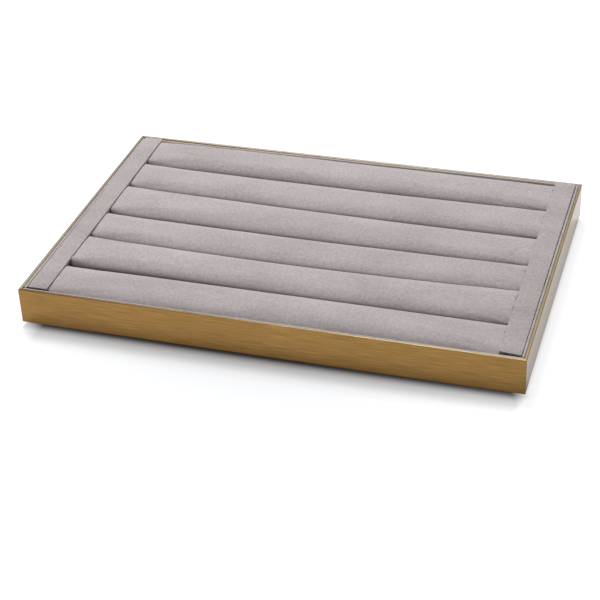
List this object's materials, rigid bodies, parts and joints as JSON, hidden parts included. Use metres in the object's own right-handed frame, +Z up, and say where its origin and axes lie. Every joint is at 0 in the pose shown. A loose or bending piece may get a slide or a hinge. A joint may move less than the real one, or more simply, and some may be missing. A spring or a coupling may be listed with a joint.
{
  "type": "ring display tray",
  "caption": "Flat jewelry tray with a mitred metal frame and a lift-out insert of soft fabric rolls that hold finger rings in the grooves between them.",
  "frame": {"origin": "on the table under the middle of the tray", "axes": "+X along the rolls, +Y to the back, +Z up"},
  "size_m": [0.3, 0.2, 0.0264],
  "materials": {
    "brushed_gold": "brushed, gold coloured",
    "liner_microfibre": "short nap",
    "microfibre": "short nap",
    "foam": "open-cell foam",
    "fibreboard": "raw fibreboard",
    "lining_felt": "felt",
    "underside_felt": "felt",
    "pad_rubber": "matt",
    "key_metal": "plain"
  },
  "bodies": {
    "tray": {"front_rail": "brushed_gold", "back_rail": "brushed_gold", "left_rail": "brushed_gold", "right_rail": "brushed_gold", "corner_keys": "key_metal", "base_board": "fibreboard", "base_lining": "lining_felt", "underside_cloth": "underside_felt", "foot_pads": "pad_rubber", "front_liner": "liner_microfibre", "back_liner": "liner_microfibre", "left_liner": "liner_microfibre", "right_liner": "liner_microfibre"},
    "insert": {"insert_board": "fibreboard", "left_strip_core": "fibreboard", "left_strip_cover": "microfibre", "right_strip_core": "fibreboard", "right_strip_cover": "microfibre"},
    "ring_roll_1": {"ring_roll_1_core": "foam", "ring_roll_1_cover": "microfibre"},
    "ring_roll_2": {"ring_roll_2_core": "foam", "ring_roll_2_cover": "microfibre"},
    "ring_roll_3": {"ring_roll_3_core": "foam", "ring_roll_3_cover": "microfibre"},
    "ring_roll_4": {"ring_roll_4_core": "foam", "ring_roll_4_cover": "microfibre"},
    "ring_roll_5": {"ring_roll_5_core": "foam", "ring_roll_5_cover": "microfibre"},
    "ring_roll_6": {"ring_roll_6_core": "foam", "ring_roll_6_cover": "microfibre"}
  },
  "joints": [
    {"name": "insert_lift", "type": "slide", "parent": "tray", "child": "insert", "axis": [0, 0, 1], "range_m": [0, 0.05]},
    {"name": "ring_roll_1_lift", "type": "slide", "parent": "insert", "child": "ring_roll_1", "axis": [0, 0, 1], "range_m": [0, 0.04]},
    {"name": "ring_roll_2_lift", "type": "slide", "parent": "insert", "child": "ring_roll_2", "axis": [0, 0, 1], "range_m": [0, 0.04]},
    {"name": "ring_roll_3_lift", "type": "slide", "parent": "insert", "child": "ring_roll_3", "axis": [0, 0, 1], "range_m": [0, 0.04]},
    {"name": "ring_roll_4_lift", "type": "slide", "parent": "insert", "child": "ring_roll_4", "axis": [0, 0, 1], "range_m": [0, 0.04]},
    {"name": "ring_roll_5_lift", "type": "slide", "parent": "insert", "child": "ring_roll_5", "axis": [0, 0, 1], "range_m": [0, 0.04]},
    {"name": "ring_roll_6_lift", "type": "slide", "parent": "insert", "child": "ring_roll_6", "axis": [0, 0, 1], "range_m": [0, 0.04]}
  ]
}
